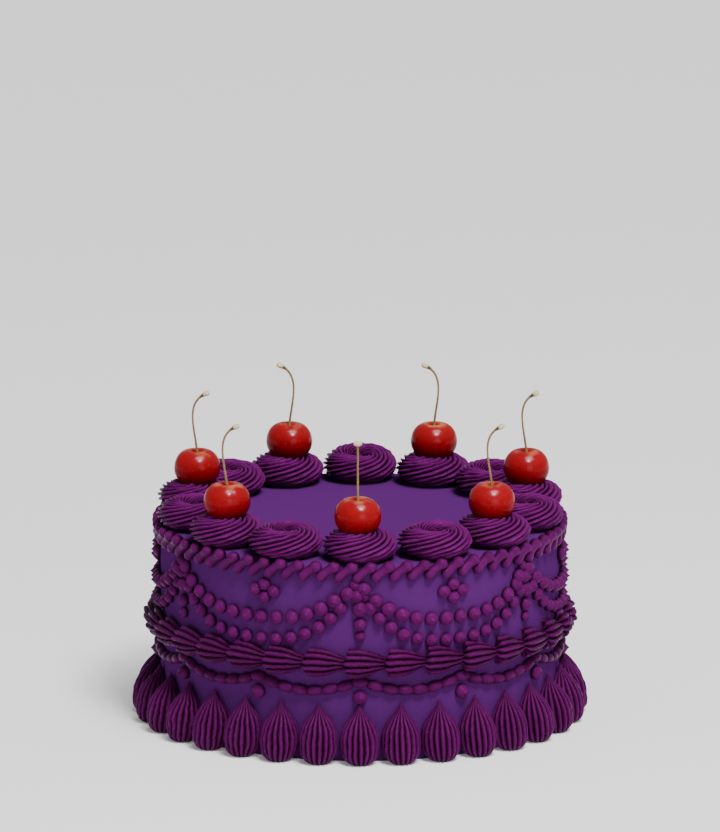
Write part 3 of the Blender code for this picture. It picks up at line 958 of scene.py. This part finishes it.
def set_stage():
    """A pale floor, the camera, and soft daylight, a key and a weak fill from the front right."""
    half = 6.0
    mesh = bpy.data.meshes.new("floor")
    corners = [(-half, -half, 0), (half, -half, 0), (half, half, 0), (-half, half, 0)]
    mesh.from_pydata(corners, [], [(0, 1, 2, 3)])
    floor = bpy.data.objects.new("floor", mesh)
    bpy.context.scene.collection.objects.link(floor)
    material, _, shader = new_material("floor")
    shader.inputs["Base Color"].default_value = (0.86, 0.86, 0.87, 1.0)
    shader.inputs["Roughness"].default_value = 0.9
    shader.inputs["Emission Color"].default_value = (1.0, 1.0, 1.0, 1.0)
    shader.inputs["Emission Strength"].default_value = 0.15
    mesh.materials.append(material)

    world = bpy.data.worlds.new("studio")
    world.use_nodes = True
    background = world.node_tree.nodes["Background"]
    background.inputs["Color"].default_value = (1.0, 1.0, 1.0, 1.0)
    background.inputs["Strength"].default_value = 0.30
    bpy.context.scene.world = world

    middle = (0.0, 0.0, 0.09)
    daylight = bpy.data.lights.new("daylight", "SUN")
    daylight.energy = 3.0
    daylight.angle = radians(30)
    sun = bpy.data.objects.new("daylight", daylight)
    bpy.context.scene.collection.objects.link(sun)
    look_at(sun, (0.50, -0.70, 2.3), middle)
    area_light("key", (0.38, -0.94, 1.50), middle, wide=0.40, power=23.0)
    area_light("fill", (0.6, -1.6, 0.40), middle, wide=0.9, power=3.5)

    camera = bpy.data.cameras.new("camera")
    camera.lens = CAMERA_LENS
    camera.sensor_width = 36.0
    camera.clip_end = 50.0
    eye = bpy.data.objects.new("camera", camera)
    bpy.context.scene.collection.objects.link(eye)
    look_at(eye, CAMERA_SPOT, CAMERA_TARGET)
    bpy.context.scene.camera = eye


# Operators and panel

class CAKE_OT_ice(Operator):
    """Ice the wall and top"""

    bl_idname = "cake.ice"
    bl_label = "Iced cake"

    def execute(self, context):
        ice_cake()
        return {"FINISHED"}


class CAKE_OT_dots(Operator):
    """Pipe the swags, flowers and knots of dots"""

    bl_idname = "cake.dots"
    bl_label = "Wall dots"

    def execute(self, context):
        pipe_dots()
        return {"FINISHED"}


class CAKE_OT_bars(Operator):
    """Pipe the rope border of slanted bars"""

    bl_idname = "cake.bars"
    bl_label = "Rope bars"

    def execute(self, context):
        pipe_bars()
        return {"FINISHED"}


class CAKE_OT_string(Operator):
    """Pipe the scalloped string of beads"""

    bl_idname = "cake.bead_string"
    bl_label = "Bead string"

    def execute(self, context):
        pipe_string()
        return {"FINISHED"}


class CAKE_OT_shells(Operator):
    """Pipe the middle border of ridged shells"""

    bl_idname = "cake.shells"
    bl_label = "Ridged shells"

    def execute(self, context):
        pipe_shells()
        return {"FINISHED"}


class CAKE_OT_rosettes(Operator):
    """Pipe the rosettes round the top"""

    bl_idname = "cake.rosettes"
    bl_label = "Rosettes"

    def execute(self, context):
        pipe_rosettes()
        return {"FINISHED"}


class CAKE_OT_cherries(Operator):
    """Set the cherries with their stalks"""

    bl_idname = "cake.cherries"
    bl_label = "Cherries"

    def execute(self, context):
        place_cherries()
        return {"FINISHED"}


class CAKE_OT_drops(Operator):
    """Pipe the drops round the base"""

    bl_idname = "cake.drops"
    bl_label = "Base drops"

    def execute(self, context):
        pipe_drops()
        return {"FINISHED"}


class CAKE_OT_stage(Operator):
    """Set the floor, lights and camera"""

    bl_idname = "cake.stage"
    bl_label = "Stage"

    def execute(self, context):
        set_stage()
        return {"FINISHED"}


OPERATORS = (
    CAKE_OT_ice,
    CAKE_OT_dots,
    CAKE_OT_bars,
    CAKE_OT_string,
    CAKE_OT_shells,
    CAKE_OT_rosettes,
    CAKE_OT_cherries,
    CAKE_OT_drops,
    CAKE_OT_stage,
)


class CAKE_PT_maker(Panel):
    """Sizes, colours and pieces of the cake"""

    bl_idname = "CAKE_PT_maker"
    bl_label = "Cherry Cake"
    bl_space_type = "VIEW_3D"
    bl_region_type = "UI"
    bl_category = "Cake"

    def draw(self, context):
        for operator in OPERATORS:
            self.layout.operator(operator.bl_idname)
        for group in (context.scene.cake_sizes, context.scene.cake_colours):
            box = self.layout.box()
            for name in group.__annotations__:
                box.prop(group, name)


CLASSES = (CakeSizes, CakeColours, *OPERATORS, CAKE_PT_maker)


def register():
    """Registers the classes, with the sizes and colours on the scene."""
    for cls in CLASSES:
        bpy.utils.register_class(cls)
    bpy.types.Scene.cake_sizes = PointerProperty(type=CakeSizes)
    bpy.types.Scene.cake_colours = PointerProperty(type=CakeColours)


def unregister():
    """Takes the sizes, the colours and the classes away again."""
    del bpy.types.Scene.cake_colours
    del bpy.types.Scene.cake_sizes
    for cls in reversed(CLASSES):
        bpy.utils.unregister_class(cls)


def main():
    """Makes every piece and the stage."""
    register()
    bpy.ops.cake.ice()
    bpy.ops.cake.dots()
    bpy.ops.cake.bars()
    bpy.ops.cake.bead_string()
    bpy.ops.cake.shells()
    bpy.ops.cake.rosettes()
    bpy.ops.cake.cherries()
    bpy.ops.cake.drops()
    bpy.ops.cake.stage()


if __name__ == "__main__":
    main()
